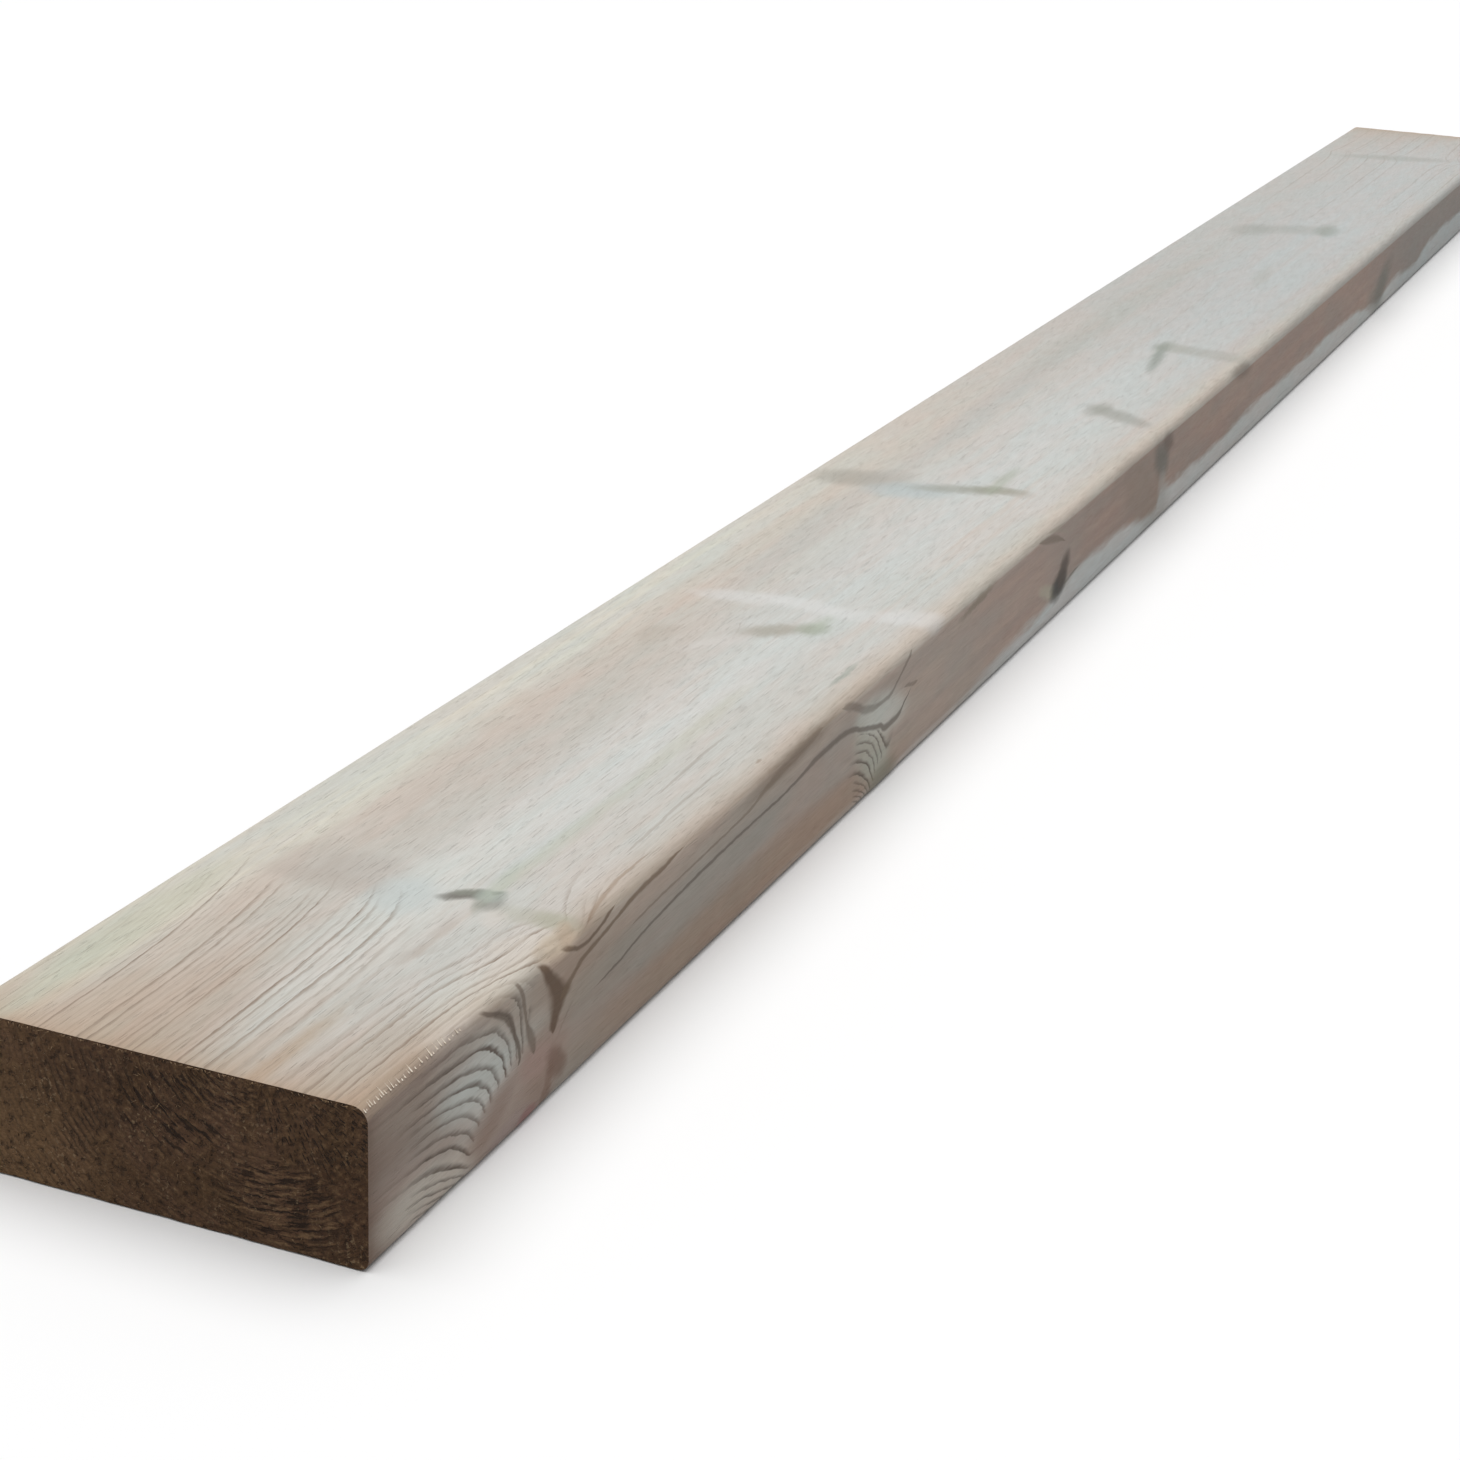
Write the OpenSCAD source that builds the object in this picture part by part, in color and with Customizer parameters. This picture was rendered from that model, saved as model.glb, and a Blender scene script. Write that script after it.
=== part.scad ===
// Timber plank: one length of planed, pressure-treated softwood.
// Millimetres. X runs along the grain, Y across the width, Z up from the underside.
// The origin is the middle of the underside.

/* [Stock] */
// Length of the plank along the grain
plank_length = 1800; // [300:100:6000]
// Width of the plank across the wide faces
plank_width = 120; // [60:1:300]
// Thickness of the plank, planed on all four sides
plank_thickness = 45; // [20:1:100]

/* [Eased arrises] */
// Radius of the two long arrises of the upper face
upper_arris_radius = 4.5; // [1:0.5:9]
// Radius of the two long arrises of the underside
lower_arris_radius = 3; // [1:0.5:9]

/* [Hidden] */
$fn = 64;
half_width = plank_width / 2;

// Points where one side's flats run into its arcs, from the underside up to the upper face
function tangent_points(side) = [
    [side * (half_width - lower_arris_radius), 0],
    [side * half_width, lower_arris_radius],
    [side * half_width, plank_thickness - upper_arris_radius],
    [side * (half_width - upper_arris_radius), plank_thickness]
];

// Points of the left side in the opposite order, so that the outline closes
function left_points() = [for (index = [3:-1:0]) tangent_points(-1)[index]];

// Round of one arris, tangent to the wide face and to the edge face that meet there
module arris(side, height, radius) {
    translate([side * (half_width - radius), height])
        circle(r = radius);
}

// Cross-section across the grain, as it leaves the planer
module planed_section() {
    polygon(concat(tangent_points(1), left_points()));
    for (side = [-1, 1]) {
        arris(side, lower_arris_radius, lower_arris_radius);
        arris(side, plank_thickness - upper_arris_radius, upper_arris_radius);
    }
}

// The planed section run along the grain and sawn square at both ends
module plank() {
    color("tan")
        translate([-plank_length / 2, 0, 0])
            rotate([90, 0, 90])
                linear_extrude(height = plank_length)
                    planed_section();
}

plank();
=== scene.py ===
import math
from collections import namedtuple

import bpy
from mathutils import Matrix, Vector


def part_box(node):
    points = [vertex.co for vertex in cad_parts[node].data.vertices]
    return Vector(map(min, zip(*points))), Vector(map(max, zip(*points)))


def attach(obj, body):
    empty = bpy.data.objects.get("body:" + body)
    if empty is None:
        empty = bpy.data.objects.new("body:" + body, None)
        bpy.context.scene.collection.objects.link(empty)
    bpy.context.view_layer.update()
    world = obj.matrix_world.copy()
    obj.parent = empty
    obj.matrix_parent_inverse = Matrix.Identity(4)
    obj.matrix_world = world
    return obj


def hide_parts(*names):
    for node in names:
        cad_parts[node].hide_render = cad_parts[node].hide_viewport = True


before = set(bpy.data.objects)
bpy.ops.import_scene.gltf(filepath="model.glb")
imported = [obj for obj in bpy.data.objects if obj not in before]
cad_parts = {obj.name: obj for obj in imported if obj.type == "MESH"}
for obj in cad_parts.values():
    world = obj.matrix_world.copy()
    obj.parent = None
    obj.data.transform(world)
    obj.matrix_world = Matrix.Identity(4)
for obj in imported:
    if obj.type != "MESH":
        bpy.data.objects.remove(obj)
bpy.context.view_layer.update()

# The plank: one length of softwood, planed on four sides with its long arrises eased, sawn square
# at both ends and pressure treated. All its faces cut through the rings and knots of one stem, whose
# places are in millimetres from the near end, the right edge face and the underside.
low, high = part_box("plank")
millimetre = 0.001
plank_length, plank_width, plank_thickness = (high - low) / millimetre
hair = 0.01 * millimetre
cad_corners = [vertex.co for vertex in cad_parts["plank"].data.vertices]


def arris_radius(level):
    """Radius of the arrises of the wide face at this height, in metres."""
    return high.y - max(corner.y for corner in cad_corners if abs(corner.z - level) < hair)


class Wire:
    """An output socket of a node tree. Arithmetic on it adds Math nodes to that tree."""

    def __init__(self, tree, socket):
        self.tree = tree
        self.socket = socket

    def node(self, kind, settings, sockets, output=0):
        """Adds any node: its settings come first, then the values or links of its sockets."""
        made = self.tree.nodes.new(kind)
        for name, value in settings.items():
            if name == "corners":
                draw_curve(made.mapping, value, "VECTOR")
            elif name == "bends":
                draw_curve(made.mapping, value, "AUTO_CLAMPED")
            elif name == "stops":
                set_stops(made.color_ramp, value)
            else:
                setattr(made, name, value)
        for name, value in sockets.items():
            if isinstance(value, Wire):
                self.tree.links.new(value.socket, made.inputs[name])
            else:
                made.inputs[name].default_value = value
        return Wire(self.tree, made.outputs[output])

    def math(self, operation, *values):
        return self.node("ShaderNodeMath", {"operation": operation}, dict(enumerate(values)))

    def of(self, operation, *others):
        """A Math node with this wire as its first value."""
        return self.math(operation, self, *others)

    def __add__(self, other):
        return self.math("ADD", self, other)

    def __sub__(self, other):
        return self.math("SUBTRACT", self, other)

    def __rsub__(self, other):
        return self.math("SUBTRACT", other, self)

    def __mul__(self, other):
        return self.math("MULTIPLY", self, other)

    def __truediv__(self, other):
        return self.math("DIVIDE", self, other)

    def __rtruediv__(self, other):
        return self.math("DIVIDE", other, self)

    __radd__ = __add__
    __rmul__ = __mul__

    def step(self, start, end, top=1.0):
        """Runs smoothly from 0 at start to top at end, also where end is the lower one."""
        values = {"Value": self, "From Min": start, "From Max": end, "To Max": top}
        return self.node("ShaderNodeMapRange", {"interpolation_type": "SMOOTHSTEP"}, values)

    def mix(self, first, second):
        """The first colour at 0, the second at 1."""
        return self.node("ShaderNodeMix", {"data_type": "RGBA"}, {0: self, 6: first, 7: second}, 2)

    def vector(self, operation, *others):
        """A Vector Math node with this wire as its first value."""
        output = 1 if operation in ("DOT_PRODUCT", "LENGTH") else 0
        values = dict(enumerate((self, *others)))
        return self.node("ShaderNodeVectorMath", {"operation": operation}, values, output)

    def axes(self):
        return [self.node("ShaderNodeSeparateXYZ", {}, {0: self}, axis) for axis in range(3)]

    def grain(self, along, across, detail=2.0, roughness=0.5, output=0):
        """Noise on a place in millimetres, in patches of this size along and across the grain."""
        patch = self.vector("DIVIDE", (along, across, across))
        values = {"Vector": patch, "Scale": 1.0, "Detail": detail, "Roughness": roughness}
        return self.node("ShaderNodeTexNoise", {}, values, output)

    def within(self, place, turn, sizes):
        """Square of the way out from the middle of an egg of these half sizes: 1 on its skin."""
        reach = self.vector("SUBTRACT", place)
        values = {"Vector": reach, "Rotation": [math.radians(angle) for angle in turn]}
        turned = reach.node("ShaderNodeVectorRotate", {"rotation_type": "EULER_XYZ", "invert": True}, values)
        share = turned.vector("DIVIDE", sizes)
        return share.vector("DOT_PRODUCT", share)

    def profile(self, points):
        """A smooth line through points, each a value of this wire and what it gives there."""
        places, heights = zip(*points)
        start, run = places[0], places[-1] - places[0]
        least, rise = min(heights), max(heights) - min(heights)
        shares = [((place - start) / run, (height - least) / rise) for place, height in points]
        share = self.node("ShaderNodeFloatCurve", {"bends": shares}, {"Value": (self - start) / run})
        return share * rise + least


def draw_curve(mapping, points, handle):
    """A line from point to point, straight or bent as the handles say."""
    curve = mapping.curves[0]
    while len(curve.points) < len(points):
        curve.points.new(1, 1)
    for point, place in zip(curve.points, points):
        point.location = place
        point.handle_type = handle
    mapping.update()


def set_stops(ramp, stops):
    """Colours at places from 0 to 1."""
    while len(ramp.elements) < len(stops):
        ramp.elements.new(1.0)
    for element, (place, tone) in zip(ramp.elements, stops):
        element.position = place
        element.color = stain(tone)


def stain(tone):
    """A colour written as it looks, as the linear numbers that a shader takes."""
    parts = [int(tone[i:i + 2], 16) / 255 for i in (1, 3, 5)]
    return [p / 12.92 if p < 0.04045 else ((p + 0.055) / 1.055) ** 2.4 for p in parts] + [1.0]


# Each year's latewood line: its distance from the pith, and how dark it is.
year_lines = [
    (2.0, 0.1), (4.2, 0.1), (6.2, 0.1), (8.2, 0.12), (9.8, 0.12), (11.5, 0.15), (13.9, 0.4), (16.1, 0.35),
    (18.7, 0.85), (21.0, 0.15), (23.5, 0.6), (25.7, 0.95), (28.5, 0.3), (31.2, 0.35), (33.4, 0.2),
    (35.4, 0.15), (37.3, 0.95), (39.5, 0.3), (41.5, 0.6), (43.2, 0.35), (45.4, 0.15), (47.6, 0.2),
    (50.0, 0.8), (53.0, 0.75), (54.9, 0.15), (56.8, 0.3), (58.4, 0.15), (60.0, 0.25), (61.7, 0.15),
    (63.8, 1.0), (66.0, 0.2), (67.8, 0.1), (69.4, 0.2), (71.2, 0.1),
    (72.9, 0.2), (74.6, 0.1), (76.2, 0.1), (78.0, 0.2), (79.8, 0.1), (81.6, 0.1), (84.5, 0.1),
    (87.0, 0.1), (90.0, 0.15), (92.1, 0.5), (94.3, 0.35), (96.2, 0.6), (98.4, 0.4), (100.3, 0.7),
    (102.6, 0.45), (104.5, 0.6), (106.6, 0.4), (108.3, 0.5), (110.0, 0.4),
]
stem_radius = year_lines[-1][0]
year_count = len(year_lines)

# The pith runs above the upper face. Branches left it in whorls: at each the rings swell outwards.
pith_v, pith_z, pith_drift = 32.0, 57.0, 0.005
whorls = [(120, 9.0), (388, 8.0), (604, 6.0), (768, 5.0), (915, 5.0), (1315, 6.0), (1660, 6.0)]

# A knot is a branch cut through by a face: its middle, turn and half sizes. The rings round it swell.
# They fan out plainly round the first two. The sound knots are whole ones, on the left and below.
Knot = namedtuple("Knot", "place turn sizes swelling")
fanned_knots = [
    Knot((78, 0, 9), (0, -17, 0), (28, 14, 12), 9),
    Knot((369, 0, 2), (0, -20, 0), (15, 14, 10), 9),
]
sound_knots = [
    Knot((104, 120, 22), (0, -15, 0), (16, 14, 10), 8),
    Knot((588, 120, 26), (0, -12, 0), (14, 14, 9), 7),
    Knot((1292, 120, 20), (0, -15, 0), (16, 14, 10), 7),
    Knot((372, 66, 0), (0, 0, 20), (15, 10, 14), 7),
    Knot((902, 44, 0), (0, 0, -15), (14, 9, 14), 6),
]
knots = fanned_knots + sound_knots + [
    Knot((584, 0, 16), (0, -10, 0), (9, 12, 6), 6),
    Knot((748, 0, 32), (0, 20, 0), (12, 12, 7), 5),
    Knot((912, 0, 42), (0, 0, 0), (12, 10, 4), 3),
    Knot((1300, 0, 14), (0, -20, 0), (20, 14, 10), 7),
    Knot((1640, 0, 24), (0, -15, 0), (14, 12, 8), 7),
]

# Above the fanned ones the rings swell further up the edge face, where the stem grew over the branch.
grown_over = [
    Knot((90, 0, 26), (0, 0, 0), (12, 20, 16), 11),
    Knot((368, 0, 20), (0, 0, 0), (16, 20, 19), 6.5),
]

# What the knots, their bark and the treatment leave on the faces, and a few bands of painted shade along
# the upper arris: a tone, how far it covers what is under it, and how soft its rim is as a share of
# its size.
Mark = namedtuple("Mark", "place turn sizes tone cover rim")
tints_under_lines = [
    Mark((58, 0, 25.5), (0, 35, 0), (23, 8, 12), "#e2e4df", 0.85, 0.7),
    Mark((88, 0, 34), (0, 60, 0), (12, 8, 8), "#c6c3ba", 0.55, 0.7),
    Mark((52, 0, 39.5), (0, 0, 0), (20, 5, 4), "#b09c8c", 0.4, 0.8),
    Mark((30, 0, 36.5), (0, 0, 0), (17, 5, 6), "#9a897d", 0.4, 0.8),
    Mark((6, 0, 20), (0, 0, 0), (17, 5, 10), "#7c6a60", 0.35, 0.8),
    Mark((33, 0, 14), (0, 10, 0), (22, 8, 6), "#c2b2a9", 0.45, 0.7),
    Mark((34, 0, 5), (0, 8, 0), (22, 6, 7), "#e4dcd1", 0.75, 0.7),
    Mark((108, 0, 38.5), (0, -8, 0), (20, 5, 5), "#977c66", 0.4, 0.8),
    Mark((130, 0, 26), (0, 0, 0), (25, 6, 8), "#a3907f", 0.45, 0.8),
    Mark((240, 0, 8), (0, 0, 0), (115, 6, 8), "#a98b73", 0.55, 0.6),
    Mark((200, 0, 26), (0, -3, 0), (60, 6, 8), "#a8a69f", 0.55, 0.8),
    Mark((210, 0, 38), (0, 0, 0), (75, 5, 4), "#cebbab", 0.4, 0.8),
    Mark((354, 0, 19), (0, 40, 0), (18, 8, 10), "#c9ccc0", 0.75, 0.6),
    Mark((363, 0, 28), (0, 12, 0), (20, 8, 6), "#e4e5de", 0.8, 0.7),
    Mark((60, 108, 45), (0, 0, 0), (40, 5, 3), "#c3c7b5", 0.6, 0.8),
    Mark((15, 88, 45), (0, 0, 0), (20, 6, 3), "#bfa896", 0.4, 0.8),
    Mark((18, 68, 45), (0, 0, 0), (34, 11, 3), "#ad9681", 0.32, 0.8),
    Mark((18, 13, 45), (0, 0, 0), (30, 7, 3), "#b09a86", 0.35, 0.8),
    Mark((84, 8, 45), (0, 0, 0), (26, 6, 3), "#dcd8cf", 0.55, 0.8),
    Mark((250, 46, 45), (0, 0, 0), (150, 9, 3), "#d3d6d4", 0.5, 0.7),
    Mark((105, 50, 45), (0, 0, 0), (58, 10, 3), "#d5d6d1", 0.45, 0.8),
    Mark((14, 32.5, 45), (0, 0, 0), (24, 2.2, 3), "#b09a83", 0.6, 0.7),
    Mark((180, 31.5, 45), (0, 0, 0), (45, 2.2, 3), "#b4baa6", 0.45, 0.8),
    Mark((270, 33.5, 45), (0, 0, 2), (35, 2.5, 3), "#bcc0ab", 0.4, 0.9),
    Mark((230, 17, 45), (0, 0, 0), (130, 13, 3), "#cac6c0", 0.6, 0.7),
    Mark((240, 78, 45), (0, 0, 0), (120, 12, 3), "#c0b8b0", 0.5, 0.7),
    Mark((500, 84, 45), (0, 0, 2), (70, 6, 3), "#bbbab7", 0.5, 0.8),
    Mark((750, 86, 45), (0, 0, 1), (110, 6, 3), "#b8b7b4", 0.5, 0.8),
    Mark((640, 53, 45), (0, 0, 0), (200, 18, 3), "#cccecd", 0.4, 0.7),
    Mark((1010, 90, 45), (0, 0, 0), (150, 7, 3), "#b2b1ab", 0.5, 0.8),
]
marks_over_lines = [
    Mark((121, 88, 45), (0, 0, 0), (11, 10, 8), "#b0a69d", 0.35, 0.7),
    Mark((123, 72, 45), (0, 0, 0), (10, 10, 8), "#aea59d", 0.4, 0.7),
    Mark((113, 78, 45), (0, 0, 0), (4, 16, 8), "#b2a79d", 0.3, 0.9),
    Mark((114, 53, 45), (0, 0, 0), (9, 8, 6), "#b9c3c3", 0.45, 0.8),
    Mark((117, 16, 45), (0, 0, 0), (4, 8, 6), "#b3b1a2", 0.55, 0.8),
    Mark((118.5, 8, 45), (0, 0, 0), (4, 5, 6), "#a8a693", 0.6, 0.8),
    Mark((111.5, 24, 45), (0, 0, 25), (5, 2.6, 3), "#d2cbc3", 0.6, 0.8),
    Mark((99, 11.5, 45), (0, 0, -25), (6, 2.6, 4), "#cdc5bb", 0.6, 0.8),
    Mark((382, 50, 45), (0, 0, -45), (11, 5, 6), "#a09a8d", 0.75, 0.7),
    Mark((390.5, 37.5, 45), (0, 0, 0), (5.5, 4, 6), "#98a08e", 0.7, 0.8),
    Mark((399, 37.5, 45), (0, 0, 0), (7, 2, 4), "#b0b8a8", 0.45, 0.9),
    Mark((360, 63, 45), (0, 0, -30), (13, 3, 4), "#d0cbc6", 0.5, 0.8),
    Mark((358, 86, 45), (0, 0, 0), (9, 5, 4), "#b0a497", 0.4, 0.8),
    Mark((413, 74, 45), (0, 0, 8), (5, 14, 3), "#dadad8", 0.52, 0.95),
    Mark((417, 52, 45), (0, 0, -10), (4.5, 13, 3), "#d8d8d6", 0.5, 0.9),
    Mark((414, 28, 45), (0, 0, 12), (4.5, 15, 3), "#d7d7d5", 0.45, 0.9),
    Mark((421, 7, 45), (0, 0, 6), (7, 10, 3), "#d8d7d5", 0.52, 0.95),
    Mark((592, 99, 45), (0, 0, -75), (13, 11, 8), "#a19c92", 0.7, 0.6),
    Mark((598, 84, 45), (0, 0, 0), (12, 8, 8), "#aaa69f", 0.55, 0.8),
    Mark((586, 69, 45), (0, 0, -60), (13, 9, 8), "#aebbbd", 0.6, 0.9),
    Mark((599, 50, 45), (0, 0, -68), (17, 5, 8), "#96968b", 0.65, 0.8),
    Mark((605, 36, 45), (0, 0, -75), (9, 4.5, 8), "#90907f", 0.6, 0.8),
    Mark((605, 26, 45), (0, 0, 90), (6, 4, 8), "#aaa197", 0.35, 0.9),
    Mark((620, 39, 45), (0, 0, 2), (17, 2.2, 4), "#a0a796", 0.55, 0.9),
    Mark((762, 26, 45), (0, 0, 52), (16, 6, 6), "#92928a", 0.65, 0.8),
    Mark((769, 38, 45), (0, 0, 0), (12, 4, 6), "#94968d", 0.5, 0.8),
    Mark((917, 20, 45), (0, 0, 78), (21, 8, 8), "#9d9b92", 0.5, 0.8),
    Mark((920, 40, 45), (0, 0, 0), (9, 6, 8), "#a3a59c", 0.45, 0.8),
    Mark((895, 42.5, 45), (0, 0, 8.3), (28, 2.4, 3), "#858b83", 0.75, 0.7),
    Mark((922, 46, 45), (0, 0, 0), (11, 3.5, 3), "#8d9389", 0.5, 0.8),
    Mark((1140, 43, 45), (0, 0, 6), (24, 3.5, 4), "#a5a8a2", 0.4, 0.8),
    Mark((1291, 85, 45), (0, 0, 0), (17, 9, 8), "#969892", 0.5, 0.8),
    Mark((1307, 60, 45), (0, 0, -60), (22, 12, 8), "#9d9f99", 0.5, 0.8),
    Mark((1316, 41, 45), (0, 0, 8), (17, 5, 5), "#8b928a", 0.55, 0.8),
    Mark((1655, 58, 45), (0, 0, -72), (30, 9, 8), "#9b9c95", 0.5, 0.8),
    Mark((80, 0, 8), (0, -17, 0), (28, 12, 13), "#a58a7c", 0.65, 0.3),
    # Painted shade: a band under the upper arris.
    Mark((275, 0, 40.5), (0, -3, 0), (32, 3, 2.6), "#7d6c5c", 0.5, 0.7),
    Mark((366, 0, 3), (0, 0, 0), (12, 8, 4.5), "#83806e", 0.65, 0.7),
    Mark((722, 0, 20), (0, 25, 0), (34, 8, 10), "#8f8477", 0.4, 0.95),
    Mark((747, 0, 31), (0, 25, 0), (12, 8, 6.5), "#696a63", 0.8, 0.7),
    Mark((758, 0, 37), (0, 15, 0), (8, 6, 3.5), "#5c4e45", 0.7, 0.7),
    Mark((754, 0, 14), (0, 60, 0), (9, 6, 5), "#b9b9b4", 0.5, 0.8),
    Mark((908, 0, 40.5), (0, 8, 0), (16, 2.4, 3), "#6b594d", 0.5, 0.8),
    Mark((1304, 0, 17), (0, -15, 0), (15, 8, 8), "#66675f", 0.6, 0.8),
    Mark((1288, 0, 9), (0, 10, 0), (20, 8, 6), "#7b7c74", 0.5, 0.9),
    Mark((1320, 0, 23), (0, -10, 0), (14, 8, 6), "#77766e", 0.45, 0.9),
    Mark((1640, 0, 24), (0, -15, 0), (14, 8, 8), "#62625b", 0.7, 0.7),
]

# Small marks, which need a sharper edge than the mesh can carry.
small_marks = [
    Mark((121.6, 38.6, 45), (0, 0, -52), (5.2, 2.3, 6), "#625e56", 0.88, 0.9),
    Mark((125, 36, 45), (0, 0, -65), (4.6, 2.0, 6), "#888b80", 0.7, 0.95),
    Mark((118.8, 32, 45), (0, 0, 14), (5, 1.6, 6), "#9a9c92", 0.6, 0.9),
    Mark((121.4, 29.6, 45), (0, 0, 10), (4.6, 2.6, 6), "#85857d", 0.7, 0.9),
    Mark((125, 31.5, 45), (0, 0, 0), (3.2, 3, 6), "#a3ada4", 0.6, 0.95),
    Mark((127.4, 31.2, 45), (0, 0, 0), (1.2, 1.1, 2), "#73776f", 0.75, 0.9),
    Mark((135, 33, 45), (0, 0, 6), (11, 1.8, 3), "#b3baac", 0.5, 0.9),
    Mark((81, 32.4, 45), (0, 0, -6), (6, 1.5, 3), "#b1a69c", 0.4, 0.9),
    Mark((99, 32.6, 45), (0, 0, 4), (5, 1.5, 3), "#b1a69c", 0.4, 0.9),
    Mark((350, 10.5, 45), (0, 0, 2), (10, 1.1, 3), "#939c92", 0.55, 0.8),
    # The next two are painted shade: among the splinters on the upper arris, and a band under that arris at
    # the near end.
    Mark((15, 2.2, 44.6), (0, 0, 0), (19, 2.4, 3), "#9d8a76", 0.4, 0.6),
    Mark((24, 0.6, 42), (0, 0, 0), (36, 2.6, 2), "#84736a", 0.5, 0.7),
    Mark((258, 5, 45), (0, 0, 10), (1.2, 0.6, 2), "#8a7460", 0.5, 0.9),
    Mark((107, 2, 44.5), (0, 0, 0), (9, 3.2, 3), "#c8b8a3", 0.7, 0.7),
    Mark((113, 2.5, 44.5), (0, 0, 30), (5, 2, 3), "#b7a28c", 0.5, 0.8),
    Mark((91, 0, 16), (0, 10, 0), (8, 6, 3.4), "#b99d93", 0.6, 0.8),
    Mark((73, 0, 3.2), (0, -8, 0), (9, 6, 2.4), "#b09d98", 0.55, 0.8),
    Mark((86, 0, 1.8), (0, 0, 0), (4.5, 6, 2), "#9f6f6f", 0.65, 0.8),
    Mark((64, 0, 12), (0, -17, 0), (10, 6, 4), "#957a6b", 0.5, 0.8),
    Mark((103, 0, 10.5), (0, 40, 0), (5.5, 5, 3.4), "#7d6152", 0.7, 0.7),
    Mark((97, 0, 5), (0, -60, 0), (5, 5, 2), "#866a5b", 0.6, 0.8),
    Mark((568, 0, 15.5), (0, 18, 0), (11, 6, 2.2), "#c6c2ae", 0.7, 0.8),
    Mark((583, 0, 14.5), (0, -8, 0), (9, 8, 4.8), "#393936", 0.97, 0.7),
    Mark((588.5, 0, 20), (0, -35, 0), (7, 6, 4.4), "#4d423a", 0.9, 0.8),
    Mark((468, 0, 39.5), (0, -4, 0), (15, 4, 1.3), "#857c6a", 0.6, 0.8),
]

# Strokes of bark that grew in, and single wide year lines. Each runs along one axis through points,
# which say its place on the other axis and its half width there.
Stroke = namedtuple("Stroke", "along across points tone cover")
strokes = [
    Stroke(2, 0, [(19.5, 79.3, 0), (22.4, 80.8, 1), (26, 79.8, 1.2), (29.7, 77.6, 1.2), (34, 75.3, 1.6),
                  (37.1, 72.6, 2.2), (39.7, 68.4, 2.1), (41.8, 64.2, 1.9), (45, 58, 0.8)], "#6b5e52", 0.85),
    Stroke(2, 0, [(19, 89, 0), (21, 88.5, 1.5), (24.5, 87.6, 2.4), (27.1, 86.2, 1.8), (30.3, 84.7, 1),
                  (34, 83.7, 0.9), (38.2, 82.6, 1.2), (42.4, 80.8, 1.1), (45, 79.6, 0.6)], "#796a5d", 0.75),
    Stroke(2, 0, [(20, 100.8, 0), (21, 101, 1.6), (23, 101.4, 3), (25, 102.6, 3.7), (27.6, 104, 5),
                  (30, 105, 6.4), (32, 103.4, 5.2), (35, 101, 4.2), (37.6, 98.6, 3.2),
                  (40.5, 96.4, 2.6), (45, 93.5, 2)], "#66513f", 0.95),
    Stroke(0, 2, [(105, 28.5, 0), (108, 30, 1.7), (111, 31.3, 1.6), (114, 33, 1.3), (118, 34.7, 1.15),
                  (124, 36, 0.95), (131, 36.9, 0.85), (143, 38.9, 0.8), (150, 40.2, 0.9), (158, 40.9, 0.9),
                  (172, 41.4, 0.8), (190, 42.5, 0)], "#77634f", 0.8),
    Stroke(0, 2, [(101, 44.6, 0), (105.3, 43.4, 0.7), (109.5, 41.8, 0.85), (113.7, 40.3, 0.9),
                  (116.8, 39.2, 0.8), (121, 38.9, 0.7), (126.3, 39.5, 0.75), (131.6, 40.6, 0.75),
                  (136.8, 41.8, 0.5), (141, 42.6, 0)], "#6f5c4a", 0.85),
    Stroke(0, 2, [(128, 22.5, 0), (141, 23.6, 0.5), (162, 26.5, 0.6), (182, 28, 0.6), (203, 29.2, 0.7),
                  (245, 30.3, 0.6), (266, 30.5, 0.6), (287, 32, 0.9), (300, 33.2, 1.3), (318, 33.3, 1.3),
                  (330, 32.3, 1.2), (341, 29.2, 1.1), (351, 26.6, 1.1), (362, 23.8, 1.3), (370, 21.4, 1.5),
                  (378, 21.6, 1.3), (386, 24.5, 0.8), (394, 28.5, 0)], "#6a5f56", 0.75),
    Stroke(0, 2, [(150, 31.5, 0), (162, 32.6, 0.5), (200, 34, 0.5), (237, 35.5, 0.6), (252, 38, 1.1),
                  (270, 40, 1.8), (287, 41.2, 1.6), (305, 42.4, 0)], "#7b6b5b", 0.55),
    Stroke(0, 2, [(322, 42.8, 0), (330, 41.2, 1.5), (337, 38.6, 1.9), (345, 35.2, 1.8), (357, 33, 1.2),
                  (368, 32.6, 0.9), (377, 35.4, 0.9), (386, 39.6, 1), (394, 43, 0)], "#6f6359", 0.55),
    Stroke(0, 2, [(385, 31, 0), (390, 30.4, 0.8), (395, 29.2, 0.9), (401, 28.8, 0)], "#6f6054", 0.5),
    Stroke(0, 2, [(548, 41.6, 0), (556, 40.6, 1.4), (566, 38.9, 2), (574, 37.2, 1.7), (581, 35.2, 0.9),
                  (588, 32.6, 0)], "#6d6252", 0.55),
    Stroke(0, 2, [(562, 42.6, 0), (573, 41, 0.9), (584, 38, 0.8), (596, 33.4, 0)], "#a9a192", 0.5),
    Stroke(0, 2, [(590, 13, 0), (597, 13.4, 0.9), (606, 14.6, 0.7), (616, 15, 0)], "#5d594c", 0.6),
    Stroke(0, 1, [(215, 21.5, 0), (232, 22, 0.6), (255, 23, 0.7), (277, 23.3, 0)], "#a0978d", 0.5),
    Stroke(0, 1, [(168, 11, 0), (190, 11.5, 0.6), (220, 12.5, 0.6), (250, 12.5, 0)], "#a0978d", 0.5),
    Stroke(0, 1, [(123, 1, 0), (132, 2.6, 0.7), (143, 4.2, 0.8), (158, 5.2, 0.6), (175, 5, 0)],
           "#97826f", 0.6),
]


def stem_place(position):
    """A place in the stem, in millimetres, from a position on the object."""
    corner = (plank_length / 2, plank_width / 2, 0)
    return position.vector("MULTIPLY_ADD", (1 / millimetre,) * 3, corner)


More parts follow.
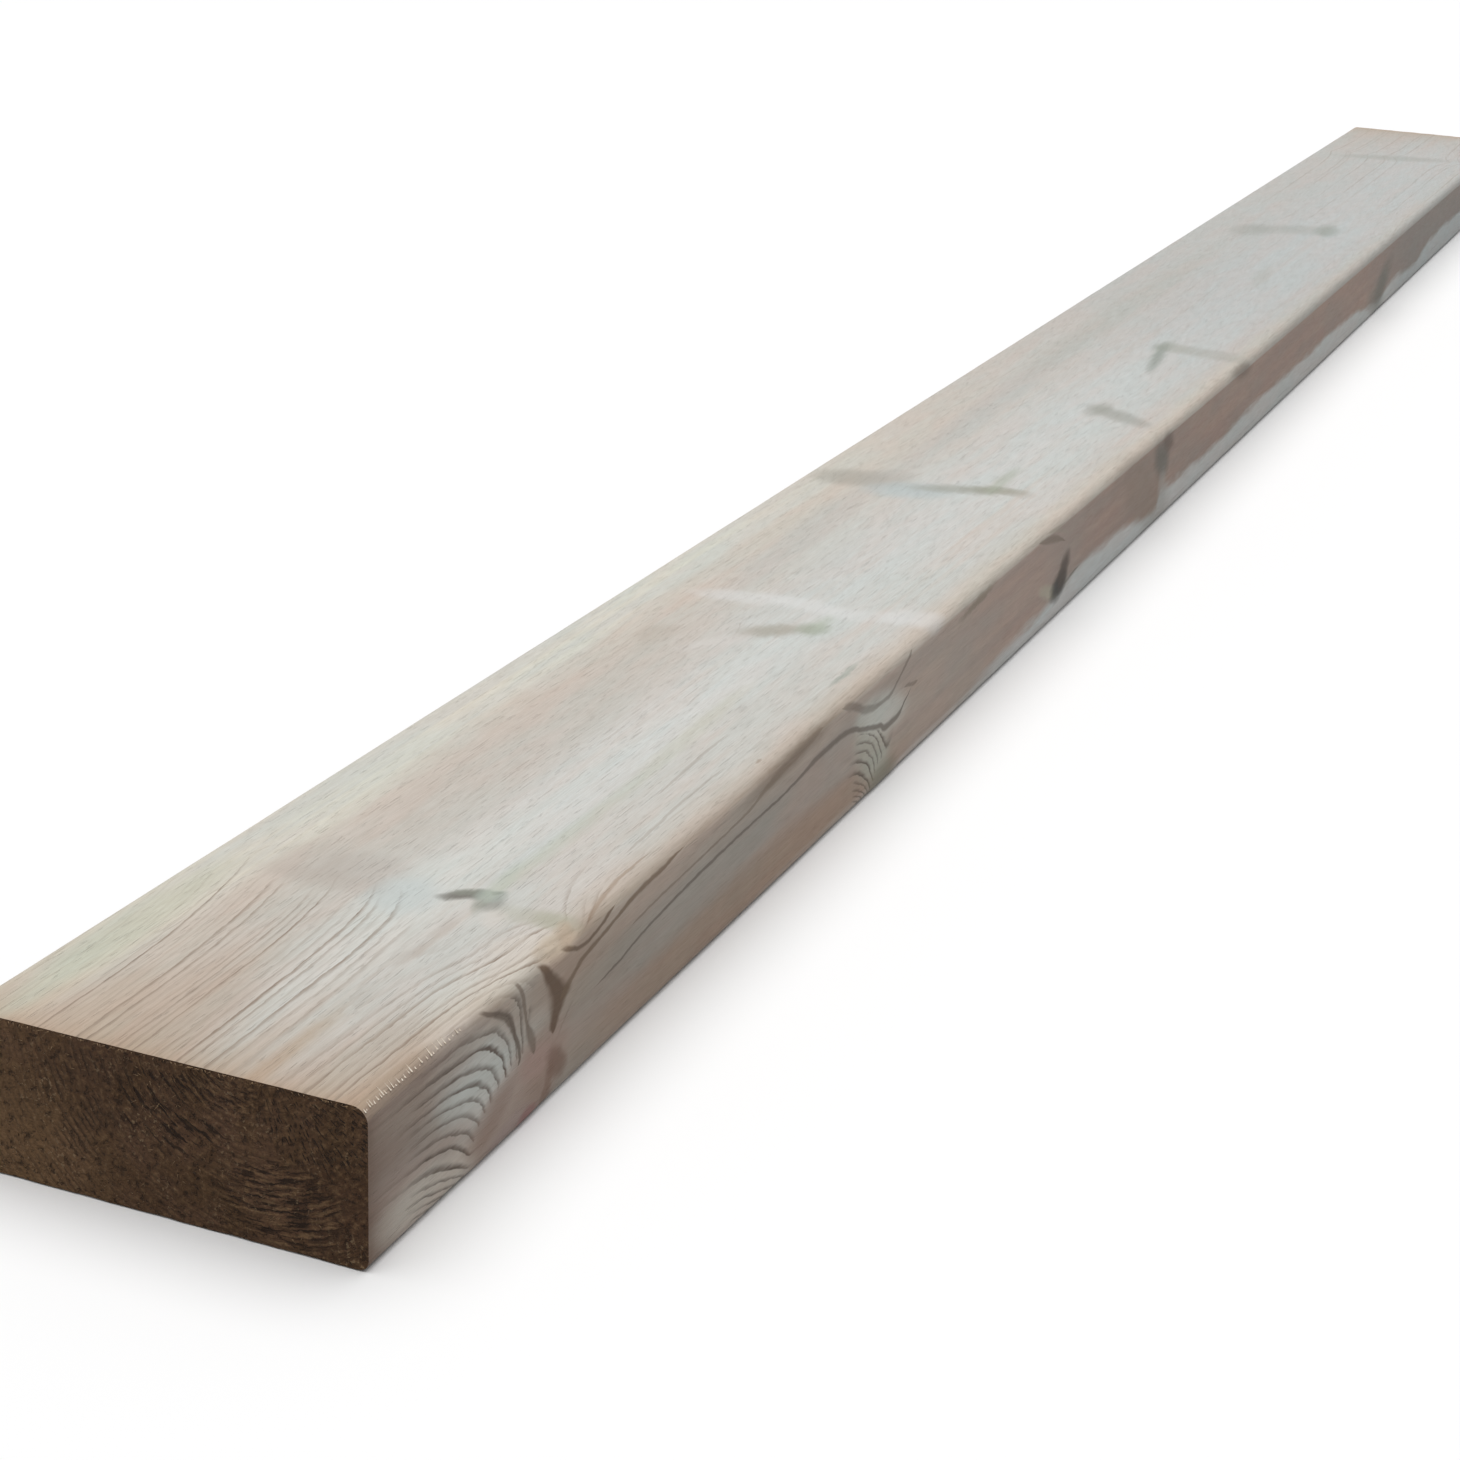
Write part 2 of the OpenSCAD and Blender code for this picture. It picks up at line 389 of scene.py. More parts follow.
def pith_distance(place):
    """How far out a place lies in the year rings: from the pith, less the swelling round branches."""
    u, v, z = place.axes()
    away_v = v - pith_v - u * pith_drift
    away_z = z - pith_z
    radius = (away_v * away_v + away_z * away_z).of("SQRT")
    rings = radius + (place.grain(160, 35, 1.0) - 0.5) * 3.0
    towards_pith = z.step(37, 45, 0.85) + 0.15
    for whorl_u, swelling in whorls:
        gap = (u - whorl_u).of("ABSOLUTE") / (radius * 0.5 + 2.0)
        rings = rings - swelling * towards_pith * (-1.0 * gap).of("EXPONENT")
    for knot in knots[len(fanned_knots):]:
        rings = rings - swollen(place, knot)
    return rings


def swollen(place, knot):
    """How far a knot pushes the rings out here."""
    gap = (place.within(knot.place, knot.turn, knot.sizes).of("SQRT") - 1.0).of("MAXIMUM", 0.0)
    return knot.swelling * (gap * -1.1).of("EXPONENT")


def line_contrast(place):
    """How plainly the year lines show: best at the near end, by the second knot, on the left and below."""
    u, v, z = place.axes()
    is_upper = z.step(42.5, 44.5)
    is_edge = 1 - is_upper
    reach = 98 + is_upper * (v.step(30, 18, 45) + 8) + (place.grain(30, 8) - 0.5) * 50
    near_end = (u - reach).step(18, -18) * (1 - u.step(112, 124, 0.45) * is_upper)
    near_end = near_end * (1 - u.step(34, 4, 0.6) * is_edge)
    second_knot = ((u - 354) / 30).of("ABSOLUTE").step(1.0, 0.4) * is_edge
    second_knot = second_knot * (z + (u - 335) * 0.25).step(32, 28)
    on_left = v.step(112, 118) * is_edge
    below = z.step(3.0, 0.5) * v.step(3, 8)
    unseen_sides = on_left.of("MAXIMUM", below) * 0.75
    shown = near_end.of("MAXIMUM", second_knot).of("MAXIMUM", unseen_sides)
    shown = shown.of("MAXIMUM", is_upper * u.step(1300, 1600, 0.45))
    for knot in knots:
        shown = shown * place.within(knot.place, knot.turn, knot.sizes).step(0.7, 1.1)
    return shown


def marked_tones(place, marks):
    """The marks laid over each other: their colour, and the share of bare wood left between them."""
    ragged = place.grain(7, 4, 3.0, 0.6, "Color").vector("SUBTRACT", (0.5, 0.5, 0.5))
    place = ragged.vector("MULTIPLY_ADD", (5.0, 3.0, 3.0), place)
    bare = 1.0
    tones = (0.0, 0.0, 0.0)
    for mark in marks:
        way_out = place.within(mark.place, mark.turn, mark.sizes)
        mask = way_out.step((1 + mark.rim) ** 2, (1 - mark.rim) ** 2, mark.cover)
        clear = 1 - mask
        colour = mask.vector("MULTIPLY", stain(mark.tone)[:3])
        tones = clear.vector("MULTIPLY_ADD", tones, colour)
        bare = clear * bare
    return tones, bare


def struck(place, colour):
    """A colour under the strokes, which lie on the upper face or the right edge face."""
    ragged = place.grain(5, 2.5, 2.0, 0.5, "Color").vector("SUBTRACT", (0.5, 0.5, 0.5))
    axes = ragged.vector("MULTIPLY_ADD", (1.6, 0.9, 0.9), place).axes()
    is_upper = axes[2].step(42, 44)
    is_edge = axes[1].step(1.9, 0.7)
    for stroke in strokes:
        along = axes[stroke.along]
        middle = along.profile([(point[0], point[1]) for point in stroke.points])
        half_width = along.profile([(point[0], point[2]) for point in stroke.points])
        way_out = (axes[stroke.across] - middle).of("ABSOLUTE") / half_width.of("MAXIMUM", 0.02)
        on_face = is_upper if stroke.across == 1 else is_edge
        colour = (way_out.step(1.4, 0.4, stroke.cover) * on_face).mix(colour, stain(stroke.tone))
    return colour


def knotted(place, colour):
    """A colour under the sound knots: brown wood with its own rings, a dark pith and a rim of bark."""
    well_outside = 9.0
    nearest = well_outside
    for knot in sound_knots:
        nearest = place.within(knot.place, knot.turn, knot.sizes).of("MINIMUM", nearest)
    way_out = nearest.of("SQRT") + (place.grain(6, 4) - 0.5) * 0.25
    tones = [(0.0, "#503d2e"), (0.1, "#866b55"), (0.2, "#725843"), (0.32, "#92775f"), (0.44, "#795f49"),
             (0.56, "#967b63"), (0.68, "#7d634d"), (0.8, "#92775f"), (0.88, "#715843"), (0.94, "#46372c")]
    brown = way_out.node("ShaderNodeValToRGB", {"stops": tones}, {0: way_out})
    return way_out.step(1.08, 0.94, 0.85).mix(colour, brown)


def shader(name):
    """A new material, its Principled shader and its place in the stem."""
    material = bpy.data.materials.new(name)
    material.use_nodes = True
    tree = material.node_tree
    coordinates = tree.nodes.new("ShaderNodeTexCoord")
    place = stem_place(Wire(tree, coordinates.outputs["Object"]))
    return material, tree.nodes["Principled BSDF"], place


def feed(socket, wire):
    wire.tree.links.new(wire.socket, socket)


def stored(wire, name, output="Fac"):
    """A field that the mesh carries."""
    return wire.node("ShaderNodeAttribute", {"attribute_name": name}, {}, output)


def year_pattern(place):
    """The place between pith and bark, the latewood lines there and how dark each year's is."""
    rings = stored(place, "rings") + (place.grain(26, 5) - 0.5) * 1.3 + (place.grain(5, 1.1) - 0.5) * 0.8
    for knot in fanned_knots:
        rings = rings - swollen(place, knot)
    for knot in grown_over:
        rings = rings - knot.swelling / (place.within(knot.place, knot.turn, knot.sizes) + 1.0)
    counted = enumerate(year_lines, 1)
    years = [(0.0, 0.0)] + [(line / stem_radius, i / year_count) for i, (line, _) in counted]
    year = rings.node("ShaderNodeFloatCurve", {"corners": years}, {"Value": rings / stem_radius})
    past_line = 0.12
    year = year * year_count + past_line
    number = year.of("FLOOR")
    part = year - number
    latewood = part.step(0.45, 0.92) * part.step(1.0, 0.94)
    darks = [((i + 0.5) / year_count, dark) for i, (_, dark) in enumerate(year_lines)]
    share = (number + 0.5) / year_count
    dark = share.node("ShaderNodeFloatCurve", {"corners": darks}, {"Value": share})
    return rings, latewood, dark


def marked(place, colour, name):
    """A colour under the marks that the mesh carries by this name."""
    bare = stored(place, name + " bare")
    return bare.vector("MULTIPLY_ADD", colour, stored(place, name, "Vector"))


def rough(surface, height, depth):
    """Feeds a height to the shader's normal, as relief of this depth in millimetres."""
    values = {"Height": height, "Distance": depth * millimetre}
    feed(surface.inputs["Normal"], height.node("ShaderNodeBump", {}, values))


def planed_timber():
    """Planed faces: pale heartwood and sapwood, brown year lines, knots, the treatment's tints, and painted
    light and shade.
    """
    material, surface, place = shader("planed timber")
    u, v, z = place.axes()
    rings, latewood, dark = year_pattern(place)
    fibre = place.grain(14, 0.5, 3.0, 0.65)
    streak = place.grain(240, 6, 2.0)
    cloud = place.grain(70, 22, 2.0)

    # Painted light: the upper face is painted paler, greyer and cooler than the edge faces, whose wood is of
    # much the same colour. This is a painted sheen of light from above.
    heart = [(0.0, "#cdcecb"), (0.16, "#cccdca"), (0.25, "#cac7c2"), (0.38, "#cac6bf"), (0.48, "#cac3ba"),
             (0.56, "#ccc4ba")]
    upper = rings.node("ShaderNodeValToRGB", {"stops": heart}, {0: rings / stem_radius})
    upper = streak.step(0.45, 0.75, 0.5).mix(upper, stain("#cabcb1"))
    upper = cloud.step(0.45, 0.75, 0.35).mix(upper, stain("#c7cac6"))
    edge = streak.step(0.35, 0.65).mix(stain("#c6b7ab"), stain("#bdaea4"))
    edge = cloud.step(0.42, 0.72, 0.6).mix(edge, stain("#b4b0a9"))
    edge = u.step(380, 560).mix(edge, edge.vector("MULTIPLY", (0.94, 0.87, 0.86)))
    edge = u.step(520, 720).mix(edge, edge.vector("MULTIPLY", (0.82, 0.79, 0.78)))
    edge = u.step(1230, 1420, 0.7).mix(edge, stain("#8f8d89"))
    # Painted light: the lowest few millimetres of the right edge face are made pale against the shade where
    # the plank meets the floor, higher further along.
    painted_light_low_rim = (z - u.step(190, 300, 2.6)).step(2.6, 0.4, 0.6) * v.step(4, 2)
    edge = painted_light_low_rim.mix(edge, stain("#ebe6df"))
    # The paler upper tone reaches down the rounded arris, lower further along, which paints a crisp edge
    # between the lit upper face and the shaded edge face.
    is_upper = (z + u.step(350, 1100, 1.8)).step(41.0, 42.4)
    colour = is_upper.mix(edge, upper)

    # The pale sapwood: outside the heart on the left and below, and an uneven band low on the right.
    heart_middle_v, heart_middle_z, heart_drift = 36.0, 55.0, 0.012
    heart_v = v - heart_middle_v - u * heart_drift
    heart_z = z - heart_middle_z
    heart_radius = (heart_v * heart_v + heart_z * heart_z).of("SQRT")
    sapwood = (heart_radius + (place.grain(120, 12) - 0.5) * 14).step(57.5, 64.5)
    sap_edge = u.profile([(400, 0), (440, 4), (480, 6.5), (560, 9), (600, 13), (660, 14), (705, 10), (742, 8),
                          (752, 14), (800, 13), (860, 12), (950, 15), (1050, 15), (1150, 15), (1200, 14.5),
                          (1250, 10), (1300, 8), (1350, 13), (1420, 9), (1500, 18), (1800, 16)])
    on_right = v.step(9, 4) * (1 - is_upper)
    low_band = (z - sap_edge + (place.grain(40, 6, 3.0, 0.6) - 0.5) * 9).step(2.6, -2.6)
    sapwood = sapwood * (1 - on_right) + low_band * on_right
    sap_streak = streak.step(0.35, 0.65)
    sap_above = sap_streak.mix(stain("#d7d4c8"), stain("#cecdc6"))
    sap_left = sap_streak.mix(stain("#dcd3c4"), stain("#cfc9bd"))
    sap_right = u.step(600, 950).mix(stain("#dcdedd"), stain("#d5d6d4"))
    sap_right = u.step(1280, 1420).mix(sap_right, stain("#c6cbcb"))
    sap_beside = v.step(40, 110).mix(sap_right, sap_left)
    sap_tone = is_upper.mix(sap_beside, sap_above)
    on_edge = (1 - is_upper) * (1 - on_right * u.step(540, 430)) * (1 - v.step(40, 110, 0.2))
    on_upper = is_upper * u.step(720, 460)
    colour = (sapwood * (on_edge + on_upper)).mix(colour, sap_tone)
    # Painted shade: the upper face turns darker and bluer grey towards the far end.
    painted_far_shade = is_upper * u.step(500, 1150, 0.6)
    colour = painted_far_shade.mix(colour, stain("#b0b4b6"))
    tan = (v + (place.grain(40, 5) - 0.5) * 7).step(13, 2, 0.75) * is_upper * u.step(1900, 900)
    tan_tone = u.step(300, 420).mix(stain("#b8a897"), stain("#c8beb2"))
    colour = tan.mix(colour, u.step(800, 1100).mix(tan_tone, stain("#bcb5ac")))
    # Painted shade: the faces turn darker and browner towards both ends.
    from_end = u.of("MINIMUM", plank_length - u)
    by_end = (from_end * -0.12).of("EXPONENT")
    near_an_end = (from_end * -0.018).of("EXPONENT")
    painted_end_shade = near_an_end * (0.35 + 0.15 * is_upper) + by_end * (0.75 - 0.45 * is_upper)
    colour = painted_end_shade.mix(colour, is_upper.mix(stain("#877366"), stain("#b0977f")))
    colour = marked(place, colour, "tints")
    pink = colour.vector("MULTIPLY", (1.02, 0.99, 0.975))
    green = colour.vector("MULTIPLY", (0.98, 1.005, 1.0))
    colour = place.grain(55, 10, 3.0).step(0.35, 0.65).mix(pink, green)

    lines = stored(place, "lines")
    on_fan = (1 - is_upper) * lines.step(0.6, 1.0)
    inner = rings.step(26, 31, 0.6) + 0.4
    dark = dark * is_upper + (dark + (0.65 - dark * 0.5) * on_fan) * inner * (1 - is_upper)
    patch = place.grain(40, 2.6, 3.0) * 1.0 + place.grain(8, 0.9, 2.0) * 0.7
    visible = (dark * patch - (1 - lines) * 0.72).of("MAXIMUM", 0.0)
    line_tone = is_upper.mix(stain("#675a50"), stain("#8b7a6b"))
    colour = (latewood * visible).of("MINIMUM", 0.95).mix(colour, line_tone)
    colour = fibre.step(0.36, 0.66).mix(colour, colour.vector("MULTIPLY", (0.9, 0.89, 0.875)))
    pore = place.grain(9, 0.35, 1.0).step(0.66, 0.74)
    colour = (pore * 0.35).mix(colour, colour.vector("MULTIPLY", (0.75, 0.72, 0.69)))
    colour = marked(place, colour, "marks")
    tones, bare = marked_tones(place, small_marks)
    colour = knotted(place, struck(place, bare.vector("MULTIPLY_ADD", colour, tones)))
    mottle = place.grain(22, 5, 3.0, 0.6).step(0.25, 0.75)
    colour = mottle.mix(colour.vector("MULTIPLY", (0.95, 0.945, 0.94)), colour)
    feed(surface.inputs["Base Color"], colour)

    feed(surface.inputs["Roughness"], 0.6 + fibre * 0.22)
    surface.inputs["Specular IOR Level"].default_value = 0.3
    rough(surface, fibre * 0.6 - pore * 0.4, 0.22)
    return material


def sawn_end_grain():
    """Sawn ends: the open pores drank the treatment, so the end grain is dark brown."""
    material, surface, place = shader("sawn end grain")
    u, v, z = place.axes()
    rings, latewood, _ = year_pattern(place)
    mottle = place.grain(18, 18, 3.0, 0.6)
    patch = place.grain(9, 9, 3.0)
    crumb = place.grain(2.4, 2.4, 3.0, 0.65)
    fleck = place.grain(1.3, 1.3, 2.0, 0.6)

    def zone(middle_v, middle_z, half_v, half_z):
        """1 in a part of the section, run through the whole length, and 0 outside it."""
        sizes = (2 * plank_length, half_v, half_z)
        return place.within((0, middle_v, middle_z), (0, 0, 0), sizes).step(1.7, 0.3)

    colour = mottle.step(0.36, 0.64).mix(stain("#5a432f"), stain("#6d523f"))
    colour = (v.step(62, 100, 0.7) * z.step(40, 6)).mix(colour, stain("#86694b"))
    colour = v.step(72, 108, 0.2).mix(colour, stain("#86694d"))
    colour = (zone(70, 33, 22, 13) * 0.45).mix(colour, stain("#493525"))
    colour = (zone(8, 15, 14, 13) * 0.5).mix(colour, stain("#4d3526"))

    # The saw tore the rings up: bold dashes high in the middle, ripples low on the right, rays over them.
    angle = (v - pith_v).of("ARCTAN2", pith_z - z)
    around = place.node("ShaderNodeCombineXYZ", {}, {0: u * 0.1, 1: rings, 2: angle * 45})
    bold = around.vector("DIVIDE", (1.0, 1.6, 11)).grain(1.0, 1.0, 2.0).step(0.54, 0.63)
    ripple = around.vector("DIVIDE", (1.0, 0.95, 7.5)).grain(1.0, 1.0, 2.0)
    ray = around.vector("DIVIDE", (1.0, 2.6, 0.9)).grain(1.0, 1.0, 2.0).step(0.56, 0.66)
    rippled = zone(25, 12, 17, 12).of("MAXIMUM", zone(42, 40, 11, 6) * 0.9) + 0.2
    steep = latewood * zone(82, 28, 12, 17) * patch.step(0.4, 0.55)
    torn = bold * (zone(56, 31, 16, 12) + 0.2)
    torn = torn.of("MAXIMUM", ripple.step(0.5, 0.66) * rippled * 0.85).of("MAXIMUM", steep * 0.75)
    torn = torn.of("MAXIMUM", ray * (zone(13, 36, 17, 11) + 0.2))
    torn = torn.of("MAXIMUM", latewood * patch.step(0.38, 0.6) * 0.4)
    torn = torn.of("MAXIMUM", crumb.step(0.48, 0.3) * 0.75)
    colour = crumb.step(0.5, 0.68, 0.65).mix(colour, stain("#80654a"))
    colour = torn.mix(colour, stain("#30231a"))
    # Painted highlights: the pale sides of the ripples, beside their dark lines.
    colour = (ripple.step(0.48, 0.34, 0.5) * rippled).mix(colour, stain("#8f7355"))
    flecked = zone(94, 26, 6, 8).of("MAXIMUM", zone(89, 8, 6, 6)).of("MAXIMUM", zone(64, 24, 8, 6))
    flecked = flecked.of("MAXIMUM", zone(34, 32, 8, 3)).of("MAXIMUM", zone(4, 4, 5, 5))
    flecked = (flecked * 0.65).of("MAXIMUM", patch.step(0.5, 0.62, 0.5))
    colour = (fleck.step(0.56, 0.68) * flecked).mix(colour, stain("#a0876a"))
    feed(surface.inputs["Base Color"], colour)
    surface.inputs["Roughness"].default_value = 0.9
    surface.inputs["Specular IOR Level"].default_value = 0.2
    rough(surface, fleck * 0.5 + crumb - torn, 0.9)
    return material


def grown_mesh(name, sizes, build):
    """A plain mesh object from a node tree, whose named inputs are the sizes."""
    tree = bpy.data.node_groups.new(name, "GeometryNodeTree")
    tree.interface.new_socket("Shape", in_out="OUTPUT", socket_type="NodeSocketGeometry")
    for label in sizes:
        tree.interface.new_socket(label, in_out="INPUT", socket_type="NodeSocketFloat")
    given = tree.nodes.new("NodeGroupInput")
    result = tree.nodes.new("NodeGroupOutput")
    shape = build({label: Wire(tree, given.outputs[label]) for label in sizes})
    tree.links.new(shape.socket, result.inputs["Shape"])
    piece = bpy.data.objects.new(name, bpy.data.meshes.new(name))
    bpy.context.scene.collection.objects.link(piece)
    modifier = piece.modifiers.new(name, "NODES")
    modifier.node_group = tree
    for item in tree.interface.items_tree:
        if item.in_out == "INPUT":
            modifier[item.identifier] = float(sizes[item.name])
    evaluated = piece.evaluated_get(bpy.context.evaluated_depsgraph_get())
    piece.data = bpy.data.meshes.new_from_object(evaluated)
    piece.modifiers.clear()
    return piece


def keep_field(shape, name, kind, value):
    """Stores a field on the mesh, for the materials to read."""
    return shape.node("GeometryNodeStoreNamedAttribute", {"data_type": kind, "domain": "POINT"},
                      {"Geometry": shape, "Name": name, "Value": value})


def relief(place, is_end):
    """How far the wood stands proud in millimetres: knots do, a torn arris and saw marks lie low."""
    wave_height, knot_height, torn_depth = 0.2, 0.2, 1.5
    saw_slope, saw_pitch, saw_depth, torn_out = 0.4, 9.0, 0.05, 0.6
    _, v, z = place.axes()
    planed_height = (place.grain(60, 14) - 0.5) * wave_height
    for knot in knots:
        way_out = place.within(knot.place, knot.turn, knot.sizes)
        planed_height = planed_height + way_out.step(1.3, 0.6, knot_height)
    torn = place.within((105, 0.5, 44.6), (0, 0, 4), (14, 4.5, 3.5)).step(1.3, 0.2, torn_depth)
    planed_height = planed_height - torn * (place.grain(5, 2.5, 3.0) + 0.4)
    saw_mark = ((v * saw_slope + z) * (math.tau / saw_pitch)).of("SINE")
    sawn_height = saw_mark * saw_depth + (place.grain(7, 7, 3.0) - 0.6) * torn_out
    return planed_height * (1 - is_end) + sawn_height * is_end


def planed_block(sizes):
    """A gridded block with its long arrises rounded, its grid finer near the near end."""
    length, width, thickness = sizes["Length"], sizes["Width"], sizes["Thickness"]
    upper, lower = sizes["Upper arris"], sizes["Lower arris"]
    counts = {"Size": (1.0, 1.0, 1.0), "Vertices X": 480, "Vertices Y": 61, "Vertices Z": 25}
    block = length.node("GeometryNodeMeshCube", {}, counts, "Mesh")
    share_x, share_y, share_z = length.node("GeometryNodeInputPosition", {}, {}).axes()
    from_end = share_x + 0.5
    evenness, crowding = 0.35, 0.25
    x = length * (evenness * from_end + (1 - evenness) * from_end * from_end) - length / 2
    crowd_y = share_y * 2
    crowd_z = share_z * 2
    y = width / 2 * crowd_y * (1 + crowding - crowding * crowd_y * crowd_y)
    z = thickness / 2 * (1 + crowd_z * (1 + crowding - crowding * crowd_z * crowd_z))
    radius = lower + (upper - lower) * share_z.of("GREATER_THAN", 0.0)
    core_y = width / 2 - radius
    near_y = y.of("MAXIMUM", 0 - core_y).of("MINIMUM", core_y)
    near_z = z.of("MAXIMUM", lower).of("MINIMUM", thickness - upper)
    off_y = y - near_y
    off_z = z - near_z
    off = (off_y * off_y + off_z * off_z).of("SQRT")
    square = off_y.of("ABSOLUTE").of("MAXIMUM", off_z.of("ABSOLUTE"))
    pull = square / off.of("MAXIMUM", hair * hair)
    eased = {0: x, 1: near_y + off_y * pull, 2: near_z + off_z * pull}
    place = x.node("ShaderNodeCombineXYZ", {}, eased)
    normal = x.node("GeometryNodeInputNormal", {}, {})
    facing_end = 0.7
    is_end = normal.axes()[0].of("ABSOLUTE").of("GREATER_THAN", facing_end)
    shape = block.node("GeometryNodeSetPosition", {}, {"Geometry": block, "Position": place})

    stem = stem_place(shape.node("GeometryNodeInputPosition", {}, {}))
    shape = keep_field(shape, "rings", "FLOAT", pith_distance(stem))
    shape = keep_field(shape, "lines", "FLOAT", line_contrast(stem))
    for name, marks in (("tints", tints_under_lines), ("marks", marks_over_lines)):
        tones, bare = marked_tones(stem, marks)
        shape = keep_field(shape, name, "FLOAT_VECTOR", tones)
        shape = keep_field(shape, name + " bare", "FLOAT", bare)
    proud = normal.vector("MULTIPLY", relief(stem, is_end) * millimetre)
    shape = shape.node("GeometryNodeSetPosition", {}, {"Geometry": shape, "Offset": proud})

    shape = shape.node("GeometryNodeSetShadeSmooth", {}, {"Geometry": shape, "Shade Smooth": True})
    angle = shape.node("GeometryNodeInputMeshEdgeAngle", {}, {}, "Unsigned Angle")
    least_sharp = math.radians(50)
    is_sharp = angle.of("GREATER_THAN", least_sharp)
    shape = shape.node("GeometryNodeSetShadeSmooth", {"domain": "EDGE"},
                       {"Geometry": shape, "Selection": is_sharp, "Shade Smooth": False})
    shape = shape.node("GeometryNodeSetMaterial", {}, {"Geometry": shape, "Material": planed})
    end_faces = {"Geometry": shape, "Selection": is_end, "Material": sawn}
    return shape.node("GeometryNodeSetMaterial", {}, end_faces)


planed = planed_timber()
sawn = sawn_end_grain()
plank = grown_mesh("timber_plank", {
    "Length": plank_length * millimetre,
    "Width": plank_width * millimetre,
    "Thickness": plank_thickness * millimetre,
    "Upper arris": arris_radius(high.z),
    "Lower arris": arris_radius(low.z),
}, planed_block)
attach(plank, "root")
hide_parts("plank")


# The splinters: short whiskers of the plank's own wood that the planer left standing in a row across
# the upper right arris at the near end.
def torn_wood(name, pale, dark):
    """Bare torn fibres, unevenly stained by the treatment."""
    material, surface, place = shader(name)
    colour = place.grain(1.5, 0.6, 2.0).step(0.35, 0.65).mix(stain(pale), stain(dark))
    feed(surface.inputs["Base Color"], colour)
    surface.inputs["Roughness"].default_value = 0.85
    return material


def scattered(wire, least, most, seed):
    """A random vector for each point."""
    values = {0: least, 1: most, "Seed": seed}
    return wire.node("FunctionNodeRandomValue", {"data_type": "FLOAT_VECTOR"}, values)


def slivers(points, along, chosen, sizes, material):
    """A thin four-sided spike of uneven size on each chosen point, lying along a direction."""
    spike = {"Vertices": 4, "Radius Top": 0.0, "Radius Bottom": sizes["Thickness"], "Depth": sizes["Length"]}
    placed = {
        "Points": points,
        "Selection": chosen,
        "Instance": points.node("GeometryNodeMeshCone", {}, spike, "Mesh"),
        "Rotation": points.node("FunctionNodeAlignRotationToVector", {"axis": "Z"}, {"Vector": along}),
        "Scale": scattered(points, (0.6, 0.6, 0.5), (1.2, 1.2, 1.3), 1),
    }
    shape = points.node("GeometryNodeInstanceOnPoints", {}, placed)
    shape = shape.node("GeometryNodeRealizeInstances", {}, {"Geometry": shape})
    return shape.node("GeometryNodeSetMaterial", {}, {"Geometry": shape, "Material": material})


whisker_length = 2.8 * millimetre


def arris_whiskers(sizes):
    """A row of slivers along the arris, each lying across it."""
    radius = arris_radius(high.z)
    lean, slant = math.radians(60), 0.35
    across = Vector((slant, math.sin(lean), math.cos(lean))).normalized()
    inward, downward = radius * (1 - math.cos(lean)), radius * (1 - math.sin(lean))
    middle = Vector((low.x, low.y + inward, high.z - downward))
    start = middle - across * whisker_length / 2
    first, thinning = 0.8, 0.014
    number = sizes["Spacing"].node("GeometryNodeInputIndex", {}, {})
    spaces = number + number * number * thinning + first
    row = number.node("ShaderNodeCombineXYZ", {}, {0: spaces * sizes["Spacing"]})
    least, most = Vector((-0.4, -0.3, -0.3)) * millimetre, Vector((0.4, 0.1, 0.1)) * millimetre
    uneven = scattered(row, least, most, 2)
    place = row.vector("ADD", start).vector("ADD", uneven)
    points = row.node("GeometryNodePoints", {}, {"Count": sizes["Count"], "Position": place})
    along = scattered(points, (-0.1, -0.05, -0.1), (0.1, 0.05, 0.0), 3).vector("ADD", across)
    return slivers(points, along, True, sizes, torn_wood("planed splinters", "#e6dccd", "#cfc0ad"))


whiskers = grown_mesh("arris_splinters", {
    "Count": 30,
    "Spacing": 1.2 * millimetre,
    "Length": whisker_length,
    "Thickness": 0.27 * millimetre,
}, arris_whiskers)
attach(whiskers, "root")


# The torn fibres: short ends of fibre that the saw left standing on both ends of the plank, in clumps,
# with a fringe along the upper edge of the near one.
def end_fibres(sizes):
    """Slivers that lie nearly flat on the ends: even ones on the near end, odd ones on the far end."""
    number = sizes["Count"].node("GeometryNodeInputIndex", {}, {})
    outward = number.of("MODULO", 2.0) * 2 - 1
    fringe_every = 6.0
    fringe = number.of("MODULO", fringe_every).of("LESS_THAN", 0.5)
    fringe_level = high.z - 0.5 * millimetre
    inset = Vector((0, 2, 2)) * millimetre
    _, y, z = scattered(number, low + inset, high - inset, 4).axes()
    z = z * (1 - fringe) + fringe_level * fringe
    place = number.node("ShaderNodeCombineXYZ", {}, {0: outward * high.x, 1: y, 2: z})
    points = number.node("GeometryNodePoints", {}, {"Count": sizes["Count"], "Position": place})
    _, along_y, along_z = scattered(points, (-1, -1, -1), (1, 1, 1), 5).axes()
    lean, fringe_lean, fringe_flatness = 0.2, 0.5, 0.8
    leans = {
        0: outward * (lean + fringe * fringe_lean),
        1: along_y,
        2: along_z * (1 - fringe * fringe_flatness),
    }
    along = number.node("ShaderNodeCombineXYZ", {}, leans)
    here = stem_place(points.node("GeometryNodeInputPosition", {}, {}))
    chosen = here.grain(14, 14).step(0.42, 0.6).of("MAXIMUM", fringe).of("GREATER_THAN", 0.5)
    return slivers(points, along, chosen, sizes, torn_wood("sawn fibres", "#917759", "#6a543f"))


fibres = grown_mesh("end_fibres", {
    "Count": 600,
    "Length": 1.4 * millimetre,
    "Thickness": 0.13 * millimetre,
}, end_fibres)
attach(fibres, "root")

